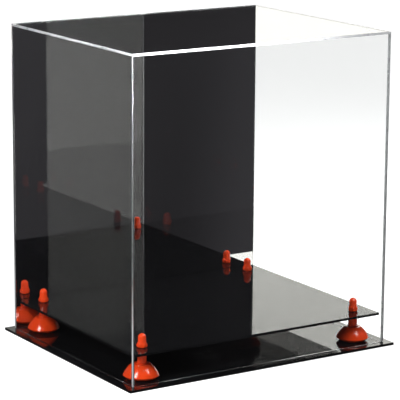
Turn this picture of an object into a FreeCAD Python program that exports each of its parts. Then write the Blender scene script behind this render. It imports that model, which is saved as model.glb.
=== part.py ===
"""A lift-off acrylic display case: black base, raised black shelf on turned risers, clear cover, mirror back.

Millimetres, +Z up, front towards -Y. The origin is the middle of the base plate's underside.
The cover's five sheets are bonded edge to edge and lift off together. Each riser is a stack on one
countersunk screw: base plate, bell, sleeve, shelf and a domed cap nut that turns on the screw.
"""

import FreeCAD, Part
import math
import os

import Sketcher

doc = FreeCAD.newDocument("DisplayCase")

# Driving dimensions, each written once
SIZES = [
    ("case_width", 345.0, "outside of the cover, along X"),
    ("case_depth", 278.0, "outside of the cover, along Y"),
    ("cover_height", 370.0, "cover, from the base plate up"),
    ("wall", 3.0, "clear sheet of the cover's front, sides and top"),
    ("mirror_thick", 3.0, "mirror sheet that forms the back"),
    ("base_thick", 3.0, "base plate"),
    ("base_margin", 9.0, "ledge of the base plate outside the cover"),
    ("shelf_thick", 3.0, "raised shelf"),
    ("shelf_gap", 1.5, "clearance from the shelf to the cover all round"),
    ("edge_ease", 0.4, "chamfer on the sheets' exposed edges"),
    ("riser_inset", 23.8, "riser axis from the inner faces of the cover"),
    ("bell_diameter", 38.5, "bell at its widest"),
    ("bell_height", 17.2, "bell, foot to shoulder"),
    ("bell_rim_height", 4.3, "bell's widest rim above its foot"),
    ("bell_undercut", 7.5, "how far the foot stands in under the rim"),
    ("bell_under_radius", 10.0, "rounding under the rim"),
    ("bell_shoulder_diameter", 20.5, "flat top of the bell"),
    ("bell_bulge_radius", 30.0, "convex flank of the bell"),
    ("sleeve_diameter", 10.5, "spacer sleeve between bell and shelf"),
    ("sleeve_length", 15.5, "spacer sleeve"),
    ("sleeve_ease", 0.5, "chamfer on the sleeve's upper end"),
    ("sleeve_foot_diameter", 12.5, "collar at the sleeve's foot"),
    ("sleeve_foot_height", 1.2, "collar at the sleeve's foot"),
    ("screw_diameter", 5.0, "countersunk screw"),
    ("screw_clearance", 0.25, "radial clearance of the screw in plain holes"),
    ("head_diameter", 9.2, "countersunk head"),
    ("head_recess", 0.3, "head below the base plate's underside"),
    ("socket_flats", 3.0, "hexagon socket in the head"),
    ("socket_depth", 1.4, "hexagon socket"),
    ("thread_reach", 9.0, "screw above the shelf, inside the nut"),
    ("thread_play", 0.05, "radial play of the nut on the screw"),
    ("screw_tip_ease", 0.6, "chamfer at the screw's end"),
    ("nut_flats", 10.4, "hexagon of the cap nut"),
    ("nut_hex_height", 5.6, "hexagon of the cap nut"),
    ("nut_height", 16.2, "cap nut"),
    ("nut_dome_diameter", 9.0, "dome of the cap nut"),
    ("nut_flare", 1.8, "cone between the hexagon and the dome"),
    ("nut_bore_spare", 1.5, "blind hole beyond the screw's end"),
    ("nut_ease", 0.7, "rise of the turned cone that breaks the hexagon's corners"),
]

sizes = doc.addObject("Spreadsheet::Sheet", "Sizes")
for row, (alias, value, what) in enumerate(SIZES, start=1):
    sizes.set(f"A{row}", alias)
    sizes.set(f"B{row}", str(value))
    sizes.set(f"C{row}", what)
    sizes.setAlias(f"B{row}", alias)
doc.recompute()

# Levels and places that several pieces share, as expressions of the sizes
BASE_TOP = "Sizes.base_thick"
SHELF_UNDER = "Sizes.base_thick + Sizes.bell_height + Sizes.sleeve_length"
SHELF_TOP = f"{SHELF_UNDER} + Sizes.shelf_thick"
WALL_HEIGHT = "Sizes.cover_height - Sizes.wall"
RISER_X = "Sizes.case_width / 2 - Sizes.wall - Sizes.riser_inset"
RISER_FRONT_Y = "Sizes.case_depth / 2 - Sizes.wall - Sizes.riser_inset"
RISER_BACK_Y = "Sizes.case_depth / 2 - Sizes.mirror_thick - Sizes.riser_inset"
PLAIN_HOLE = "Sizes.screw_diameter / 2 + Sizes.screw_clearance"
HEAD_CONE = "(Sizes.head_diameter - Sizes.screw_diameter) / 2"
RISERS = {
    "front_left": (f"-({RISER_X})", f"-({RISER_FRONT_Y})"),
    "front_right": (RISER_X, f"-({RISER_FRONT_Y})"),
    "back_left": (f"-({RISER_X})", RISER_BACK_Y),
    "back_right": (RISER_X, RISER_BACK_Y),
}

# How far each nut is turned when it is tight, in degrees
NUT_TURN = {"front_left": 27.0, "front_right": 0.0, "back_left": 24.0, "back_right": 11.0}

pieces = []


def value_of(expression):
    """The number that an expression of the sizes has now."""
    return float(sizes.evalExpression(expression))


def new_body(label):
    """A sub-part's body, kept in the list of pieces to write."""
    body = doc.addObject("PartDesign::Body", label)
    body.Label = label
    pieces.append(body)
    return body


def place(body, x="0", y="0", z="0"):
    """Bind a body's position to expressions of the sizes."""
    for axis, expression in zip("xyz", (x, y, z)):
        body.setExpression(f".Placement.Base.{axis}", f"({expression}) * 1mm")


def sketch_on(body, role, name):
    """An empty sketch on one of the body's own origin planes."""
    sketch = body.newObject("Sketcher::SketchObject", name)
    plane = next(f for f in body.Origin.OriginFeatures if f.Role == role)
    sketch.AttachmentSupport = [(plane, "")]
    sketch.MapMode = "FlatFace"
    return sketch


def pin_point(sketch, vertex, name, across, along):
    """Hold a sketch vertex at two expressions; None keeps it on that axis.

    A sketch numbers its own horizontal axis -1, whose first point is the origin, and its vertical axis -2.
    """
    geometry, end = vertex
    for kind, axis, suffix, expression in (
        ("DistanceX", -2, "across", across),
        ("DistanceY", -1, "along", along),
    ):
        if expression is None:
            sketch.addConstraint(Sketcher.Constraint("PointOnObject", geometry, end, axis))
            continue
        index = sketch.addConstraint(Sketcher.Constraint(kind, -1, 1, geometry, end, value_of(expression)))
        sketch.renameConstraint(index, f"{name}_{suffix}")
        sketch.setExpression(f"Constraints.{name}_{suffix}", expression)


def draw_profile(sketch, points, arcs=None):
    """A closed outline through (name, across, along) points; arcs maps a side's first point to its radius.

    An arc bows to the right of the way it is drawn.
    """
    arcs = arcs or {}
    spots = [
        FreeCAD.Vector(*(0.0 if e is None else value_of(e) for e in (across, along)), 0)
        for _, across, along in points
    ]
    sides = []
    for (name, _, _), start, stop in zip(points, spots, spots[1:] + spots[:1]):
        if name in arcs:
            radius = value_of(arcs[name])
            run = stop - start
            right = FreeCAD.Vector(run.y, -run.x, 0).normalize()
            rise = radius - math.sqrt(radius**2 - (run.Length / 2) ** 2)
            arc = Part.Arc(start, (start + stop) / 2 + right * rise, stop)
            side = sketch.addGeometry(arc)
            index = sketch.addConstraint(Sketcher.Constraint("Radius", side, radius))
            sketch.renameConstraint(index, f"{name}_radius")
            sketch.setExpression(f"Constraints.{name}_radius", arcs[name])
        else:
            side = sketch.addGeometry(Part.LineSegment(start, stop))
        sides.append(side)
    first, last = 1, 2
    for side, after in zip(sides, sides[1:] + sides[:1]):
        sketch.addConstraint(Sketcher.Constraint("Coincident", side, last, after, first))
    for side, (name, across, along) in zip(sides, points):
        pin_point(sketch, (side, first), name, across, along)


def turn(body, name, points, arcs=None, kind="PartDesign::Revolution"):
    """A full turn of an (across, along) outline about the body's Z axis."""
    sketch = sketch_on(body, "XZ_Plane", f"{name}_profile")
    draw_profile(sketch, points, arcs)
    feature = body.newObject(kind, name)
    feature.Profile = sketch
    feature.ReferenceAxis = (sketch, ["V_Axis"])
    feature.Angle = 360.0
    return feature


def ease_top(body, pad):
    """Chamfer the edges round a flat sheet's upper face."""
    doc.recompute()
    heights = [face.CenterOfMass.z for face in pad.Shape.Faces]
    chamfer = body.newObject("PartDesign::Chamfer", f"{body.Label}_ease")
    chamfer.Base = (pad, [f"Face{heights.index(max(heights)) + 1}"])
    chamfer.setExpression("Size", "Sizes.edge_ease * 1mm")


def cut_sheet(label, width, depth, thick):
    """A rectangular sheet lying flat, with its low corner at the body's origin."""
    body = new_body(label)
    sketch = sketch_on(body, "XY_Plane", f"{label}_outline")
    draw_profile(
        sketch,
        [
            ("corner", None, None),
            ("right", width, None),
            ("far", width, depth),
            ("left", None, depth),
        ],
    )
    pad = body.newObject("PartDesign::Pad", f"{label}_pad")
    pad.Profile = sketch
    pad.setExpression("Length", f"({thick}) * 1mm")
    return body, pad


def drill(body, label, x, y, thick):
    """A plain hole for a screw, right through a flat sheet."""
    hole = body.newObject("PartDesign::SubtractiveCylinder", label)
    hole.setExpression("Radius", f"({PLAIN_HOLE}) * 1mm")
    hole.setExpression("Height", f"({thick}) * 1mm")
    place(hole, x, y)


def countersink(body, label, x, y):
    """A seat for a screw head, opening at the sheet's lower face."""
    seat = "Sizes.head_diameter / 2 + Sizes.screw_clearance"
    straight = body.newObject("PartDesign::SubtractiveCylinder", f"{label}_mouth")
    straight.setExpression("Radius", f"({seat}) * 1mm")
    straight.setExpression("Height", "Sizes.head_recess * 1mm")
    place(straight, x, y)
    cone = body.newObject("PartDesign::SubtractiveCone", f"{label}_cone")
    cone.setExpression("Radius1", f"({seat}) * 1mm")
    cone.setExpression("Radius2", f"({PLAIN_HOLE}) * 1mm")
    cone.setExpression("Height", f"({HEAD_CONE}) * 1mm")
    place(cone, x, y, "Sizes.head_recess")


def make_base_plate():
    """Black plate, a ledge wider than the cover, with a countersunk hole under each riser."""
    width = "Sizes.case_width + 2 * Sizes.base_margin"
    depth = "Sizes.case_depth + 2 * Sizes.base_margin"
    body, pad = cut_sheet("base_plate", width, depth, "Sizes.base_thick")
    ease_top(body, pad)
    for corner, (x, y) in RISERS.items():
        from_corner = (f"({width}) / 2 + {x}", f"({depth}) / 2 + {y}")
        drill(body, f"base_hole_{corner}", *from_corner, "Sizes.base_thick")
        countersink(body, f"base_sink_{corner}", *from_corner)
    place(body, f"-({width}) / 2", f"-({depth}) / 2")


def make_shelf():
    """Black shelf that fills the cover with a small gap, with a hole over each riser."""
    width = "Sizes.case_width - 2 * Sizes.wall - 2 * Sizes.shelf_gap"
    depth = "Sizes.case_depth - Sizes.wall - Sizes.mirror_thick - 2 * Sizes.shelf_gap"
    left = "Sizes.case_width / 2 - Sizes.wall - Sizes.shelf_gap"
    front = "Sizes.case_depth / 2 - Sizes.wall - Sizes.shelf_gap"
    body, pad = cut_sheet("shelf", width, depth, "Sizes.shelf_thick")
    ease_top(body, pad)
    for corner, (x, y) in RISERS.items():
        drill(body, f"shelf_hole_{corner}", f"{left} + {x}", f"{front} + {y}", "Sizes.shelf_thick")
    place(body, f"-({left})", f"-({front})", SHELF_UNDER)


def make_cover():
    """Four clear sheets and the mirror back: the top lies on the walls, the sides stand between front and back."""
    half_width = "Sizes.case_width / 2"
    half_depth = "Sizes.case_depth / 2"
    side_depth = "Sizes.case_depth - Sizes.wall - Sizes.mirror_thick"
    top, pad = cut_sheet("cover_top", "Sizes.case_width", "Sizes.case_depth", "Sizes.wall")
    ease_top(top, pad)
    place(top, f"-{half_width}", f"-{half_depth}", f"{BASE_TOP} + {WALL_HEIGHT}")
    front, _ = cut_sheet("cover_front", "Sizes.case_width", "Sizes.wall", WALL_HEIGHT)
    place(front, f"-{half_width}", f"-{half_depth}", BASE_TOP)
    mirror, _ = cut_sheet("mirror_back", "Sizes.case_width", "Sizes.mirror_thick", WALL_HEIGHT)
    place(mirror, f"-{half_width}", f"{half_depth} - Sizes.mirror_thick", BASE_TOP)
    left, _ = cut_sheet("cover_left", "Sizes.wall", side_depth, WALL_HEIGHT)
    place(left, f"-{half_width}", f"-{half_depth} + Sizes.wall", BASE_TOP)
    right, _ = cut_sheet("cover_right", "Sizes.wall", side_depth, WALL_HEIGHT)
    place(right, f"{half_width} - Sizes.wall", f"-{half_depth} + Sizes.wall", BASE_TOP)


def make_bell(corner, x, y):
    """Turned foot: rounded in under its rim, bulging flank, flat shoulder, plain bore for the screw."""
    body = new_body(f"riser_bell_{corner}")
    widest = "Sizes.bell_diameter / 2"
    turn(
        body,
        f"bell_{corner}",
        [
            ("bore_foot", PLAIN_HOLE, None),
            ("foot", f"{widest} - Sizes.bell_undercut", None),
            ("rim", widest, "Sizes.bell_rim_height"),
            ("shoulder", "Sizes.bell_shoulder_diameter / 2", "Sizes.bell_height"),
            ("bore_top", PLAIN_HOLE, "Sizes.bell_height"),
        ],
        {"foot": "Sizes.bell_under_radius", "rim": "Sizes.bell_bulge_radius"},
    )
    place(body, x, y, BASE_TOP)


def make_sleeve(corner, x, y):
    """Spacer sleeve that holds the shelf above the bell."""
    body = new_body(f"riser_sleeve_{corner}")
    outer = "Sizes.sleeve_diameter / 2"
    turn(
        body,
        f"sleeve_{corner}",
        [
            ("bore_low", PLAIN_HOLE, None),
            ("collar", "Sizes.sleeve_foot_diameter / 2", None),
            ("collar_rim", "Sizes.sleeve_foot_diameter / 2", "Sizes.sleeve_foot_height / 2"),
            ("low_side", outer, "Sizes.sleeve_foot_height"),
            ("high_side", outer, "Sizes.sleeve_length - Sizes.sleeve_ease"),
            ("high", f"{outer} - Sizes.sleeve_ease", "Sizes.sleeve_length"),
            ("bore_high", PLAIN_HOLE, "Sizes.sleeve_length"),
        ],
    )
    place(body, x, y, f"{BASE_TOP} + Sizes.bell_height")


def make_screw(corner, x, y):
    """Countersunk screw, its head sunk in the base plate's underside and its end inside the nut."""
    body = new_body(f"riser_screw_{corner}")
    shank = "Sizes.screw_diameter / 2"
    length = f"{SHELF_TOP} + Sizes.thread_reach - Sizes.head_recess"
    turn(
        body,
        f"screw_{corner}",
        [
            ("middle", None, None),
            ("rim", "Sizes.head_diameter / 2", None),
            ("neck", shank, HEAD_CONE),
            ("thread_end", shank, f"{length} - Sizes.screw_tip_ease"),
            ("tip", f"{shank} - Sizes.screw_tip_ease", length),
            ("tip_middle", None, length),
        ],
    )
    socket = body.newObject("PartDesign::SubtractivePrism", f"socket_{corner}")
    socket.Polygon = 6
    socket.setExpression("Circumradius", "Sizes.socket_flats / sqrt(3) * 1mm")
    socket.setExpression("Height", "Sizes.socket_depth * 1mm")
    place(body, x, y, "Sizes.head_recess")


def make_nut(corner, x, y):
    """Tall cap nut: hexagon with broken corners, bullet dome and a blind hole for the screw."""
    body = new_body(f"cap_nut_{corner}")
    corners = "Sizes.nut_flats / sqrt(3)"
    dome = "Sizes.nut_dome_diameter / 2"
    hexagon = body.newObject("PartDesign::AdditivePrism", f"hexagon_{corner}")
    hexagon.Polygon = 6
    hexagon.setExpression("Circumradius", f"{corners} * 1mm")
    hexagon.setExpression("Height", "Sizes.nut_hex_height * 1mm")
    for end, flat, slope in (
        ("low", None, "Sizes.nut_ease"),
        ("high", "Sizes.nut_hex_height", "Sizes.nut_hex_height - Sizes.nut_ease"),
    ):
        turn(
            body,
            f"break_{end}_{corner}",
            [
                ("inner", "Sizes.nut_flats / 2 - Sizes.nut_ease", flat),
                ("outer", f"{corners} + Sizes.nut_ease", flat),
                ("side", f"{corners} + Sizes.nut_ease", slope),
                ("cone", "Sizes.nut_flats / 2", slope),
            ],
            kind="PartDesign::Groove",
        )
    turn(
        body,
        f"dome_{corner}",
        [
            ("root", None, "Sizes.nut_hex_height - Sizes.nut_ease"),
            ("skirt", "Sizes.nut_flats / 2", "Sizes.nut_hex_height - Sizes.nut_ease"),
            ("cone", dome, "Sizes.nut_hex_height + Sizes.nut_flare"),
            ("spring", dome, f"Sizes.nut_height - {dome}"),
            ("crown", None, "Sizes.nut_height"),
        ],
        {"spring": dome},
    )
    hole = body.newObject("PartDesign::SubtractiveCylinder", f"thread_{corner}")
    hole.setExpression("Radius", "(Sizes.screw_diameter / 2 + Sizes.thread_play) * 1mm")
    hole.setExpression("Height", "(Sizes.thread_reach + Sizes.nut_bore_spare) * 1mm")
    body.Placement.Rotation = FreeCAD.Rotation(FreeCAD.Vector(0, 0, 1), NUT_TURN[corner])
    place(body, x, y, SHELF_TOP)


make_base_plate()
make_shelf()
make_cover()
for where, (riser_x, riser_y) in RISERS.items():
    make_bell(where, riser_x, riser_y)
    make_sleeve(where, riser_x, riser_y)
    make_screw(where, riser_x, riser_y)
    make_nut(where, riser_x, riser_y)
doc.recompute()

# Nothing is written unless every feature computed and every piece is one sound solid
for item in doc.Objects:
    if {"Invalid", "Error"} & set(item.State):
        raise RuntimeError(f"{item.Label} failed: {item.State}")
for piece in pieces:
    if piece.Shape.isNull() or not piece.Shape.isValid() or len(piece.Shape.Solids) != 1:
        raise RuntimeError(f"{piece.Label} isn't one valid solid")

os.makedirs("parts", exist_ok=True)
for piece in pieces:
    piece.Shape.exportStep(os.path.join("parts", f"{piece.Label}.step"))
    print(piece.Label, round(piece.Shape.Volume, 1), [round(v, 2) for v in piece.Shape.BoundBox.Center])
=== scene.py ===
"""Looks of a lift-off acrylic display case.

Clear cover, mirror back, black base and shelf, orange risers. Metres, +Z up, clear front
towards -Y. Each piece takes its place from the frame's own nodes.
"""

import math

import bpy
from mathutils import Matrix, Vector


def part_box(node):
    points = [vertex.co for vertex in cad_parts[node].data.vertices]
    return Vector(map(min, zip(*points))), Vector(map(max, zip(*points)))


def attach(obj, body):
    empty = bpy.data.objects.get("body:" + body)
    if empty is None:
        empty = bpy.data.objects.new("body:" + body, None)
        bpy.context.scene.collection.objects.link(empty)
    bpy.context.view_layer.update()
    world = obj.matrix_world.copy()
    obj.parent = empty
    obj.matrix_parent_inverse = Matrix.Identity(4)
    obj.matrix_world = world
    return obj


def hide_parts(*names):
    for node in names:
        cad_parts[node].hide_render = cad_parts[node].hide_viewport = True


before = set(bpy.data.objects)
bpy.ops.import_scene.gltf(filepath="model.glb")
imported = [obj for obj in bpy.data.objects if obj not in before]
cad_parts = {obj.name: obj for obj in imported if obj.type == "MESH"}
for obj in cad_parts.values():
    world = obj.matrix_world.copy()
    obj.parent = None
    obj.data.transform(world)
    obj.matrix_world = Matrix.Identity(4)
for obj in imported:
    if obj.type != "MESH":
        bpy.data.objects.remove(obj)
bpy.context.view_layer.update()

MM = 0.001
CORNERS = ("front_left", "front_right", "back_left", "back_right")

# Sheet work
JOINT = 0.02 * MM  # half of the cement line between two sheets
SHEET_ROUND = 0.35 * MM  # flame-polished edges
ROUND_STEPS = 3
END_FACING = 0.3  # how far a normal leans to its axis on a sheet's end and that end's rounding
FLAT_FACING = 0.99  # the same on a flat face alone
OVERSHOOT = MM  # how far a cutter stands out of what it cuts
DRILLED_SMOOTH = 12  # degrees

# Turned pieces, as radius and height above the piece's foot
TURN_STEPS = 72
ARC_STEPS = 10
EASE_STEPS = 4
MERGE = 0.002 * MM
PLUG_CORE = 0.01 * MM
TURNED_SMOOTH = 25  # degrees
PLAIN_BORE = 2.75 * MM
BELL_RIM = 4.3 * MM
BELL_UNDERCUT = 7.5 * MM
BELL_UNDER = 10 * MM
BELL_BULGE = 30 * MM
BELL_SHOULDER = 10.25 * MM
SHOULDER_ROUND = 0.5 * MM
SLEEVE_COLLAR = 1.2 * MM
SLEEVE_EASE = 0.5 * MM
SLEEVE_RADIUS = 5.25 * MM

# Cap nuts, with each one's turn in degrees
NUT_FLATS = 10.4 * MM
NUT_HEX_HEIGHT = 5.6 * MM
NUT_DOME = 4.5 * MM
NUT_TIP = 0.05 * MM
NUT_FLARE = 1.8 * MM
NUT_EASE = 0.7 * MM
NUT_BORE = 2.55 * MM
NUT_BORE_DEPTH = 10.5 * MM
NUT_TURN = {"front_left": 27, "front_right": 0, "back_left": 24, "back_right": 11}

# Countersunk holes under the base
HEAD_SEAT = 4.85 * MM
HEAD_RECESS = 0.3 * MM
HEAD_CONE = 2.1 * MM

# Camera, fitted to the corners of the cover and the base
CAMERA_AZIMUTH = -32.69
CAMERA_ELEVATION = 12.54
CAMERA_ROLL = 0.39
CAMERA_DISTANCE = 2.4964
CAMERA_SIDE = 0.0019
CAMERA_RISE = -0.0192
CAMERA_AIM = Vector((0, 0, 0.1878))
CAMERA_LENS = 190.9
CAMERA_REACH = 20

# Studio light: what reflections show of the dark room, and the soft fill on matt surfaces
ROOM_FRONT = (0.02, 0.045)
ROOM_UPPER = 0.25
ROOM_BEHIND = 0.35
ROOM_BACK_HIGH = 0.022
SOFT_FILL = 0.07
FLOOR_SIZE = 14
FLOOR_DROP = 0.3 * MM
FLOOR_GREY = (0.62, 0.62, 0.62, 1)
FLOOR_NEAR_WHITE = 0.6  # share of white under the case, where the lamps add theirs
SHEET_BOUNCES = 256
CLEAR_CROSSINGS = 32


# Modelling by hand

def deselect():
    if bpy.context.object and bpy.context.object.mode != "OBJECT":
        bpy.ops.object.mode_set(mode="OBJECT")
    bpy.ops.object.select_all(action="DESELECT")


def only(piece):
    """Make one piece the whole selection."""
    deselect()
    piece.select_set(True)
    bpy.context.view_layer.objects.active = piece


def settle(piece):
    """Put the piece's place and turn into its mesh."""
    only(piece)
    bpy.ops.object.transform_apply(location=True, rotation=True, scale=True)


def cut_sheet(name, low, high):
    """A sheet at its size and place, with its edges rounded over and polished."""
    deselect()
    bpy.ops.mesh.primitive_cube_add(size=1, location=(low + high) / 2)
    sheet = bpy.context.object
    sheet.name = name
    sheet.scale = high - low
    settle(sheet)
    bpy.ops.object.mode_set(mode="EDIT")
    bpy.ops.mesh.select_all(action="SELECT")
    bpy.ops.mesh.bevel(offset=SHEET_ROUND, segments=ROUND_STEPS, affect="EDGES")
    bpy.ops.object.mode_set(mode="OBJECT")
    return sheet


def sheet_from(name, node):
    """A sheet that fills a node's box, less the cement line."""
    low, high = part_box(node)
    gap = Vector((JOINT, JOINT, JOINT))
    return cut_sheet(name, low + gap, high - gap)


def turn(name, rings):
    """A piece turned about Z: a ring drawn through (radius, height) rings and closed on itself."""
    deselect()
    radius, height = rings[0]
    bpy.ops.mesh.primitive_circle_add(
        vertices=TURN_STEPS, radius=radius, location=(0, 0, height)
    )
    piece = bpy.context.object
    piece.name = name
    settle(piece)
    bpy.ops.object.mode_set(mode="EDIT")
    bpy.ops.mesh.select_mode(type="EDGE")
    bpy.ops.mesh.select_all(action="SELECT")
    for next_radius, next_height in rings[1:] + rings[:1]:
        rise = (0, 0, next_height - height)
        bpy.ops.mesh.extrude_region_move(TRANSFORM_OT_translate={"value": rise})
        share = next_radius / radius
        bpy.ops.transform.resize(value=(share, share, 1), center_override=(0, 0, next_height))
        radius, height = next_radius, next_height
    bpy.ops.mesh.select_all(action="SELECT")
    bpy.ops.mesh.remove_doubles(threshold=MERGE)
    bpy.ops.mesh.normals_make_consistent(inside=False)
    bpy.ops.object.mode_set(mode="OBJECT")
    return piece


def bulge(start, stop, radius, steps=ARC_STEPS):
    """Rings along an arc from start to stop that bows to the right of the way it is drawn."""
    start, stop = Vector(start), Vector(stop)
    run = stop - start
    right = Vector((run.y, -run.x)).normalized()
    centre = (start + stop) / 2 - right * math.sqrt(radius**2 - (run.length / 2) ** 2)
    first = (start - centre).normalized()
    sweep = first.angle(stop - centre)
    rings = []
    for i in range(steps + 1):
        rings.append(tuple(Matrix.Rotation(sweep * i / steps, 2) @ first * radius + centre))
    return rings


def combine(piece, tool, operation):
    """Cut, join or intersect a piece with a tool, which is used up."""
    only(piece)
    modifier = piece.modifiers.new(operation.lower(), "BOOLEAN")
    modifier.operation = operation
    modifier.solver = "EXACT"
    modifier.object = tool
    bpy.ops.object.modifier_apply(modifier=modifier.name)
    bpy.data.objects.remove(tool)


def smooth(piece, angle):
    only(piece)
    bpy.ops.object.shade_smooth_by_angle(angle=math.radians(angle))


def copy_to(master, name, place, turned=0.0):
    """A copy with its own mesh, set down at a place and turned about Z."""
    only(master)
    bpy.ops.object.duplicate(linked=False)
    piece = bpy.context.object
    piece.name = name
    piece.location = place
    piece.rotation_euler = (0, 0, math.radians(turned))
    settle(piece)
    return piece


def paint(piece, *materials):
    piece.data.materials.clear()
    for material in materials:
        piece.data.materials.append(material)


def hand_over(piece, node, body):
    """Let a finished piece stand for its node and move with its body."""
    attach(piece, body)
    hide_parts(node)


# Finishes

def new_finish(name):
    material = bpy.data.materials.new(name)
    material.use_nodes = True
    tree = material.node_tree
    return material, tree.nodes, tree.links, tree.nodes["Principled BSDF"]


def add(nodes, kind, **sockets):
    """A node with some of its inputs set by name."""
    node = nodes.new(kind)
    for socket, value in sockets.items():
        node.inputs[socket.replace("_", " ")].default_value = value
    return node


def grain(nodes, links, scale, detail=4.0, stretch=(1, 1, 1)):
    """Noise on the piece's own coordinates; scale is in grains per metre."""
    where = nodes.new("ShaderNodeTexCoord")
    mapping = add(nodes, "ShaderNodeMapping", Scale=stretch)
    noise = add(nodes, "ShaderNodeTexNoise", Scale=scale, Detail=detail)
    links.new(where.outputs["Object"], mapping.inputs["Vector"])
    links.new(mapping.outputs["Vector"], noise.inputs["Vector"])
    return noise.outputs["Fac"]


def spread(nodes, links, source, low, high, start=0.35, stop=0.65):
    """Map a pattern's middle range onto low to high."""
    ramp = nodes.new("ShaderNodeMapRange")
    sockets = ("From Min", "From Max", "To Min", "To Max")
    for socket, value in zip(sockets, (start, stop, low, high)):
        ramp.inputs[socket].default_value = value
    links.new(source, ramp.inputs["Value"])
    return ramp.outputs["Result"]


def tint(nodes, links, source, first, second):
    """A colour that runs from first to second with a pattern."""
    mix = nodes.new("ShaderNodeMix")
    mix.data_type = "RGBA"
    mix.inputs["A"].default_value = (*first, 1)
    mix.inputs["B"].default_value = (*second, 1)
    links.new(source, mix.inputs["Factor"])
    return mix.outputs["Result"]


def combine_values(nodes, links, operation, first, second):
    """Two values, sockets or numbers, put together by a sum or a product."""
    math_node = nodes.new("ShaderNodeMath")
    math_node.operation = operation
    for socket, value in zip(math_node.inputs, (first, second)):
        if isinstance(value, (int, float)):
            socket.default_value = value
        else:
            links.new(value, socket)
    return math_node.outputs[0]


def emboss(nodes, links, shader, source, depth, strength=1.0):
    bump = add(nodes, "ShaderNodeBump", Strength=strength, Distance=depth)
    links.new(source, bump.inputs["Height"])
    links.new(bump.outputs["Normal"], shader.inputs["Normal"])


def black_acrylic():
    """Polished black sheet: deep gloss, faint wiping smears and a little dust."""
    material, nodes, links, shader = new_finish("black_acrylic")
    shader.inputs["IOR"].default_value = 1.49
    dust = spread(nodes, links, grain(nodes, links, 900, 1), 0, 1, 0.74, 0.8)
    black = tint(nodes, links, dust, (0.004, 0.004, 0.0045), (0.03, 0.03, 0.032))
    links.new(black, shader.inputs["Base Color"])
    smear = grain(nodes, links, 9, 6, (1, 3.5, 1))
    links.new(spread(nodes, links, smear, 0.02, 0.06), shader.inputs["Roughness"])
    emboss(nodes, links, shader, grain(nodes, links, 14, 2), 0.02 * MM, 0.25)
    return material


def clear_acrylic():
    """Clear cast sheet with faint wiping smears.

    Lamps and scattered light pass it straight, as through a window.
    """
    material, nodes, links, shader = new_finish("clear_acrylic")
    shader.inputs["Base Color"].default_value = (0.992, 0.998, 0.996, 1)
    shader.inputs["Transmission Weight"].default_value = 1.0
    shader.inputs["IOR"].default_value = 1.49
    smear = grain(nodes, links, 11, 5, (1, 1, 0.4))
    haze = spread(nodes, links, smear, 0.0, 0.012, 0.5, 0.7)
    links.new(haze, shader.inputs["Roughness"])
    path = nodes.new("ShaderNodeLightPath")
    open_way = add(nodes, "ShaderNodeBsdfTransparent", Color=(0.93, 0.945, 0.94, 1))
    scattered = nodes.new("ShaderNodeMixShader")
    lamps = nodes.new("ShaderNodeMixShader")
    links.new(path.outputs["Is Diffuse Ray"], scattered.inputs[0])
    links.new(shader.outputs[0], scattered.inputs[1])
    links.new(open_way.outputs[0], scattered.inputs[2])
    links.new(path.outputs["Is Shadow Ray"], lamps.inputs[0])
    links.new(scattered.outputs[0], lamps.inputs[1])
    links.new(open_way.outputs[0], lamps.inputs[2])
    links.new(lamps.outputs[0], nodes["Material Output"].inputs["Surface"])
    return material


def clear_edge():
    """Sawn and polished edge of the clear sheet: milky, so that it gathers light as a pale line."""
    material, nodes, links, shader = new_finish("clear_edge")
    saw = grain(nodes, links, 160, 3)
    milk = tint(nodes, links, saw, (0.36, 0.365, 0.375), (0.42, 0.425, 0.435))
    links.new(milk, shader.inputs["Base Color"])
    links.new(spread(nodes, links, saw, 0.25, 0.38), shader.inputs["Roughness"])
    shader.inputs["Transmission Weight"].default_value = 0.2
    shader.inputs["IOR"].default_value = 1.49
    return material


def mirror_face():
    """Silvered front of the acrylic mirror, very slightly wavy as such sheet is."""
    material, nodes, links, shader = new_finish("mirror_face")
    shader.inputs["Base Color"].default_value = (0.8, 0.805, 0.82, 1)
    shader.inputs["Metallic"].default_value = 1.0
    wiped = spread(nodes, links, grain(nodes, links, 12, 5), 0.004, 0.02)
    links.new(wiped, shader.inputs["Roughness"])
    emboss(nodes, links, shader, grain(nodes, links, 5, 1), 0.05 * MM, 0.3)
    return material


def mirror_backing():
    """Grey paint that protects the silvering, with a fine orange-peel skin."""
    material, nodes, links, shader = new_finish("mirror_backing")
    cloud = grain(nodes, links, 25, 6)
    grey = tint(nodes, links, cloud, (0.17, 0.175, 0.18), (0.22, 0.225, 0.23))
    links.new(grey, shader.inputs["Base Color"])
    links.new(spread(nodes, links, cloud, 0.42, 0.55), shader.inputs["Roughness"])
    emboss(nodes, links, shader, grain(nodes, links, 1400, 2), 0.03 * MM, 0.5)
    return material


def riser_orange():
    """Glossy orange plastic with faint turning rings and a slightly mottled colour."""
    material, nodes, links, shader = new_finish("riser_orange")
    mottle = grain(nodes, links, 220, 5)
    orange = tint(nodes, links, mottle, (0.68, 0.044, 0.006), (0.8, 0.058, 0.009))
    links.new(orange, shader.inputs["Base Color"])
    gloss = spread(nodes, links, grain(nodes, links, 500, 4), 0.09, 0.16)
    links.new(gloss, shader.inputs["Roughness"])
    shader.inputs["IOR"].default_value = 1.5
    shader.inputs["Coat Weight"].default_value = 0.4
    shader.inputs["Coat Roughness"].default_value = 0.12
    rings = grain(nodes, links, 60, 2, (1, 1, 60))
    emboss(nodes, links, shader, rings, 0.03 * MM, 0.25)
    return material


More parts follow.
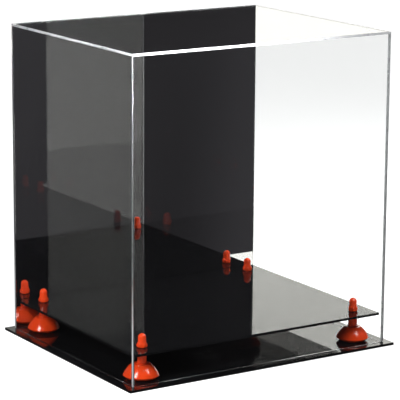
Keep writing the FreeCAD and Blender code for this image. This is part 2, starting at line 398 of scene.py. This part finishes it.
def screw_steel():
    """Plated steel with the soft turned grain of a machine screw."""
    material, nodes, links, shader = new_finish("screw_steel")
    brushed = grain(nodes, links, 300, 4, (1, 1, 8))
    steel = tint(nodes, links, brushed, (0.42, 0.42, 0.43), (0.6, 0.6, 0.6))
    links.new(steel, shader.inputs["Base Color"])
    links.new(spread(nodes, links, brushed, 0.24, 0.4), shader.inputs["Roughness"])
    shader.inputs["Metallic"].default_value = 1.0
    emboss(nodes, links, shader, brushed, 0.02 * MM, 0.3)
    return material


# Pieces

def make_clear_cover(clear, edge):
    """Front, sides and top, each a sheet of its own; the ends left open to the air are pale."""
    for node in ("cover_top", "cover_front", "cover_left", "cover_right"):
        sheet = sheet_from(node.replace("cover", "clear"), node)
        paint(sheet, clear, edge)
        for face in sheet.data.polygons:
            x, y, _ = face.normal
            ends = {"cover_top": max(abs(x), abs(y)), "cover_front": abs(x), "cover_right": -y}
            if ends.get(node, 0) > END_FACING:
                face.material_index = 1
        hand_over(sheet, node, "cover")


def make_mirror(silver, backing):
    """Mirror sheet: silvered towards the inside, painted on its back and edges."""
    sheet = sheet_from("mirror_sheet", "mirror_back")
    paint(sheet, backing, silver)
    for face in sheet.data.polygons:
        if face.normal.y < -FLAT_FACING:
            face.material_index = 1
    hand_over(sheet, "mirror_back", "cover")


def riser_place(corner):
    """Axis of a riser, from the middle of its bell."""
    low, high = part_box(f"riser_bell_{corner}")
    middle = (low + high) / 2
    return middle.x, middle.y


def drill(sheet, rings):
    """Take a turned plug out of a sheet under each riser."""
    for corner in CORNERS:
        plug = turn("plug", rings)
        plug.location = (*riser_place(corner), 0)
        settle(plug)
        combine(sheet, plug, "DIFFERENCE")
    smooth(sheet, DRILLED_SMOOTH)


def plug_rings(profile):
    """Rings of a solid plug: the outline is closed on a hair-thin core."""
    return [(PLUG_CORE, profile[0][1]), *profile, (PLUG_CORE, profile[-1][1])]


def make_base(finish):
    low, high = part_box("base_plate")
    plate = cut_sheet("base_slab", low, high)
    seat_top = HEAD_RECESS + HEAD_CONE
    sink = [(HEAD_SEAT, -OVERSHOOT), (HEAD_SEAT, HEAD_RECESS),
            (PLAIN_BORE, seat_top), (PLAIN_BORE, high.z + OVERSHOOT)]
    drill(plate, plug_rings(sink))
    paint(plate, finish)
    hand_over(plate, "base_plate", "base")


def make_shelf(finish):
    low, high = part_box("shelf")
    shelf = cut_sheet("raised_shelf", low, high)
    bore = [(PLAIN_BORE, low.z - OVERSHOOT), (PLAIN_BORE, high.z + OVERSHOOT)]
    drill(shelf, plug_rings(bore))
    paint(shelf, finish)
    hand_over(shelf, "shelf", "base")


def bell_master():
    """Foot rounded in under a crisp rim, bulging flank and a flat shoulder with a softened edge."""
    low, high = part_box("riser_bell_front_left")
    widest, height = (high.x - low.x) / 2, high.z - low.z
    under = bulge((widest - BELL_UNDERCUT, 0), (widest, BELL_RIM), BELL_UNDER)
    shoulder = (BELL_SHOULDER, height - SHOULDER_ROUND)
    flank = bulge((widest, BELL_RIM), shoulder, BELL_BULGE, 2 * ARC_STEPS)
    edge = bulge(flank[-1], (BELL_SHOULDER - SHOULDER_ROUND, height), SHOULDER_ROUND, EASE_STEPS)
    return turn("bell", [(PLAIN_BORE, 0), *under, *flank[1:], *edge[1:], (PLAIN_BORE, height)])


def sleeve_master():
    """Neck with a small collar at its foot."""
    low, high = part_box("riser_sleeve_front_left")
    collar, length = (high.x - low.x) / 2, high.z - low.z
    fillet = SLEEVE_COLLAR / 2
    foot = bulge((collar, fillet), (collar - fillet, SLEEVE_COLLAR), fillet)
    rim = (SLEEVE_RADIUS - SLEEVE_EASE, length)
    top = bulge((SLEEVE_RADIUS, length - SLEEVE_EASE), rim, SLEEVE_EASE, EASE_STEPS)
    neck = (SLEEVE_RADIUS, SLEEVE_COLLAR)
    return turn("sleeve", [(PLAIN_BORE, 0), (collar, 0), *foot, neck, *top, (PLAIN_BORE, length)])


def nut_master():
    """Hexagon with broken corners, a flare and a bullet dome, over a blind hole."""
    low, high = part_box("cap_nut_front_left")
    height = high.z - low.z
    across = NUT_FLATS / 2
    deselect()
    corner = NUT_FLATS / math.sqrt(3)
    bpy.ops.mesh.primitive_cylinder_add(
        vertices=6, radius=corner, depth=NUT_HEX_HEIGHT, location=(0, 0, NUT_HEX_HEIGHT / 2)
    )
    nut = bpy.context.object
    nut.name = "nut"
    nut.rotation_euler = (0, 0, math.radians(30))
    settle(nut)
    narrow, wide = across - NUT_EASE, corner + NUT_EASE
    slope = wide - across + NUT_EASE
    blank = [(narrow, 0), (wide, slope), (wide, NUT_HEX_HEIGHT - slope), (narrow, NUT_HEX_HEIGHT)]
    combine(nut, turn("blank", plug_rings(blank)), "INTERSECT")
    spring = height - NUT_DOME
    crown = bulge((NUT_DOME, spring), (NUT_TIP, height), NUT_DOME, 2 * ARC_STEPS)
    flare = (NUT_DOME, NUT_HEX_HEIGHT + NUT_FLARE)
    dome = [(across, NUT_HEX_HEIGHT - NUT_EASE), flare, *crown]
    combine(nut, turn("dome", plug_rings(dome)), "UNION")
    hole = [(NUT_BORE, -OVERSHOOT), (NUT_BORE, NUT_BORE_DEPTH)]
    combine(nut, turn("hole", plug_rings(hole)), "DIFFERENCE")
    return nut


def make_risers(finish, steel):
    masters = {
        "riser_bell": bell_master(),
        "riser_sleeve": sleeve_master(),
        "cap_nut": nut_master(),
    }
    for kind, master in masters.items():
        smooth(master, TURNED_SMOOTH)
        name = kind.split("_")[1]
        for corner in CORNERS:
            node = f"{kind}_{corner}"
            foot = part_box(node)[0].z
            turned = NUT_TURN[corner] if kind == "cap_nut" else 0
            piece = copy_to(master, f"{name}_{corner}", (*riser_place(corner), foot), turned)
            paint(piece, finish)
            body = f"nut_{corner}" if kind == "cap_nut" else "base"
            hand_over(piece, node, body)
        bpy.data.objects.remove(master)
    for corner in CORNERS:
        paint(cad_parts[f"riser_screw_{corner}"], steel)


# Studio

def make_camera():
    azimuth = math.radians(CAMERA_AZIMUTH)
    elevation = math.radians(CAMERA_ELEVATION)
    level_back = Vector((math.sin(azimuth), -math.cos(azimuth), 0))
    back = level_back * math.cos(elevation) + Vector((0, 0, math.sin(elevation)))
    right = Vector((math.cos(azimuth), math.sin(azimuth), 0))
    up = back.cross(right)
    level = Matrix((right, up, back)).transposed()
    turned = level @ Matrix.Rotation(math.radians(CAMERA_ROLL), 3, "Z")
    camera = bpy.data.objects.new("camera", bpy.data.cameras.new("camera"))
    bpy.context.scene.collection.objects.link(camera)
    camera.data.lens = CAMERA_LENS
    camera.data.clip_end = CAMERA_REACH
    aside = turned @ Vector((CAMERA_SIDE, CAMERA_RISE, 0))
    place = CAMERA_AIM + aside + back * CAMERA_DISTANCE
    camera.matrix_world = Matrix.Translation(place) @ turned.to_4x4()
    bpy.context.scene.camera = camera


def seen_in_reflections(nodes):
    """0 for what is seen straight, 1 or more for what a polished face has turned back."""
    path = nodes.new("ShaderNodeLightPath")
    return path.outputs["Glossy Depth"]


def stage_plane(name, size, place, turned=(0, 0, 0)):
    deselect()
    bpy.ops.mesh.primitive_plane_add(size=1, location=place, rotation=turned)
    plane = bpy.context.object
    plane.name = name
    plane.scale = (*size, 1)
    settle(plane)
    return plane


def make_floor():
    """Pale floor that keeps the shadow; reflections look past it into the dark studio."""
    floor = stage_plane("floor", (FLOOR_SIZE, FLOOR_SIZE), (0, 0, -FLOOR_DROP))
    material, nodes, links, shader = new_finish("floor_white")
    shader.inputs["Base Color"].default_value = FLOOR_GREY
    shader.inputs["Roughness"].default_value = 0.9
    shader.inputs["Specular IOR Level"].default_value = 0.0
    shader.inputs["Emission Color"].default_value = (1, 1, 1, 1)
    path = nodes.new("ShaderNodeLightPath")
    where = nodes.new("ShaderNodeTexCoord")
    away = nodes.new("ShaderNodeVectorMath")
    away.operation = "LENGTH"
    links.new(where.outputs["Object"], away.inputs[0])
    near = spread(nodes, links, away.outputs["Value"], FLOOR_NEAR_WHITE, 1.0, 0.25, 1.0)
    straight = combine_values(nodes, links, "MULTIPLY", near, path.outputs["Is Camera Ray"])
    glow = combine_values(nodes, links, "ADD", straight, path.outputs["Is Transmission Ray"])
    links.new(glow, shader.inputs["Emission Strength"])
    gone = nodes.new("ShaderNodeBsdfTransparent")
    mix = nodes.new("ShaderNodeMixShader")
    links.new(seen_in_reflections(nodes), mix.inputs[0])
    links.new(shader.outputs[0], mix.inputs[1])
    links.new(gone.outputs[0], mix.inputs[2])
    links.new(mix.outputs[0], nodes["Material Output"].inputs["Surface"])
    material.cycles.emission_sampling = "NONE"
    paint(floor, material)


def make_card(name, size, place, strength, standing=True):
    """Card that stands across the back or lies on the floor, and only shows in reflections."""
    tilt = math.radians(90) if standing else 0
    card = stage_plane(name, size, place, (tilt, 0, 0))
    material, nodes, links, shader = new_finish(name)
    nodes.remove(shader)
    glow = add(nodes, "ShaderNodeEmission", Color=(1, 0.99, 0.93, 1), Strength=strength)
    gone = nodes.new("ShaderNodeBsdfTransparent")
    mix = nodes.new("ShaderNodeMixShader")
    links.new(seen_in_reflections(nodes), mix.inputs[0])
    links.new(gone.outputs[0], mix.inputs[1])
    links.new(glow.outputs[0], mix.inputs[2])
    links.new(mix.outputs[0], nodes["Material Output"].inputs["Surface"])
    material.cycles.emission_sampling = "NONE"
    paint(card, material)
    card.visible_diffuse = False
    card.visible_shadow = False


def make_flag(size, place):
    """Unseen card beside the case that keeps the left lamp off the far risers."""
    flag = stage_plane("flag", size, place, (math.radians(90), 0, math.radians(90)))
    flag.visible_camera = False
    flag.visible_diffuse = False
    flag.visible_glossy = False
    flag.visible_transmission = False


def softbox(name, place, aim, size, power, spread_angle=180):
    """Lamp turned towards its aim; a small spread angle makes it a narrow beam."""
    lamp = bpy.data.lights.new(name, "AREA")
    lamp.shape = "RECTANGLE"
    lamp.size, lamp.size_y = size
    lamp.energy = power
    lamp.spread = math.radians(spread_angle)
    lamp.cycles.use_multiple_importance_sampling = False
    box = bpy.data.objects.new(name, lamp)
    bpy.context.scene.collection.objects.link(box)
    box.location = place
    box.rotation_euler = (Vector(aim) - Vector(place)).to_track_quat("-Z", "Y").to_euler()
    box.visible_camera = False


def make_world():
    """White seen straight, a soft fill on the surfaces and a dark studio in reflections."""
    world = bpy.data.worlds.new("studio")
    bpy.context.scene.world = world
    world.use_nodes = True
    world.cycles.sampling_method = "NONE"
    nodes, links = world.node_tree.nodes, world.node_tree.links
    nodes.clear()
    out = nodes.new("ShaderNodeOutputWorld")
    path = nodes.new("ShaderNodeLightPath")
    where = nodes.new("ShaderNodeTexCoord")
    apart = nodes.new("ShaderNodeSeparateXYZ")
    links.new(where.outputs["Generated"], apart.inputs[0])
    bands = add(nodes, "ShaderNodeTexNoise", Scale=14.0, Detail=1.0)
    flat = add(nodes, "ShaderNodeMapping", Scale=(1, 1, 0.05))
    links.new(where.outputs["Generated"], flat.inputs["Vector"])
    links.new(flat.outputs["Vector"], bands.inputs["Vector"])
    lower = spread(nodes, links, bands.outputs["Fac"], *ROOM_FRONT)
    upper = spread(nodes, links, apart.outputs["Z"], 1.0, ROOM_UPPER, -0.05, 0.1)
    behind = spread(nodes, links, apart.outputs["Y"], 1.0, ROOM_BEHIND, -0.2, 0.2)
    front = combine_values(nodes, links, "MULTIPLY", lower, upper)
    studio = combine_values(nodes, links, "MULTIPLY", front, behind)
    high = spread(nodes, links, apart.outputs["Z"], 0, ROOM_BACK_HIGH, 0.02, 0.15)
    back = spread(nodes, links, apart.outputs["Y"], 0, 1, 0, 0.3)
    back_high = combine_values(nodes, links, "MULTIPLY", high, back)
    level = combine_values(nodes, links, "ADD", studio, back_high)
    dark = add(nodes, "ShaderNodeBackground", Color=(0.97, 0.93, 1, 1))
    links.new(level, dark.inputs["Strength"])
    white = add(nodes, "ShaderNodeBackground", Color=(1, 1, 1, 1), Strength=1.0)
    fill = add(nodes, "ShaderNodeBackground", Color=(1, 1, 1, 1), Strength=SOFT_FILL)
    reflected = nodes.new("ShaderNodeMixShader")
    scattered = nodes.new("ShaderNodeMixShader")
    links.new(path.outputs["Glossy Depth"], reflected.inputs[0])
    links.new(white.outputs[0], reflected.inputs[1])
    links.new(dark.outputs[0], reflected.inputs[2])
    links.new(path.outputs["Diffuse Depth"], scattered.inputs[0])
    links.new(reflected.outputs[0], scattered.inputs[1])
    links.new(fill.outputs[0], scattered.inputs[2])
    links.new(scattered.outputs[0], out.inputs["Surface"])


def set_light_paths():
    """Light runs far inside the clear sheets before it leaves at an edge."""
    cycles = bpy.context.scene.cycles
    cycles.max_bounces = SHEET_BOUNCES
    cycles.glossy_bounces = SHEET_BOUNCES
    cycles.transmission_bounces = SHEET_BOUNCES
    cycles.transparent_max_bounces = CLEAR_CROSSINGS


make_clear_cover(clear_acrylic(), clear_edge())
make_mirror(mirror_face(), mirror_backing())
black = black_acrylic()
make_base(black)
make_shelf(black)
make_risers(riser_orange(), screw_steel())

make_camera()
make_floor()
make_card("back_card", (1.25, 0.42), (0.675, 0.55, 0.21), 2.1)
make_card("upper_card", (0.9, 0.38), (0.902, 0.55, 0.61), 1.0)
make_card("back_card_grey", (0.37, 0.6), (-0.135, 0.55, 0.3), 0.6)
make_card("floor_card", (1.1, 0.6), (0.74, 0.25, -0.2 * MM), 1.5, standing=False)
make_flag((1.0, 0.26), (-0.25, 0, 0.28))
softbox("key_left", (-0.95, -0.25, 0.6), (-0.15, 0, 0.03), (0.26, 0.36), 12)
softbox("key_front", (0.3, -0.67, 0.84), (0.12, -0.1, 0.02), (0.3, 0.36), 5)
softbox("top_front", (-0.05, -0.6, 1.45), (0, -0.05, 0.05), (0.7, 0.5), 11)
softbox("side_right", (1.15, 0.3, 0.75), (0, 0, 0.05), (0.3, 0.4), 8)
softbox("front_edge", (-0.3, -1.3, 0.45), (-0.12, -0.139, 0.39), (0.2, 0.1), 2.5, 16)
make_world()
set_light_paths()
bpy.context.scene.view_settings.view_transform = "Standard"
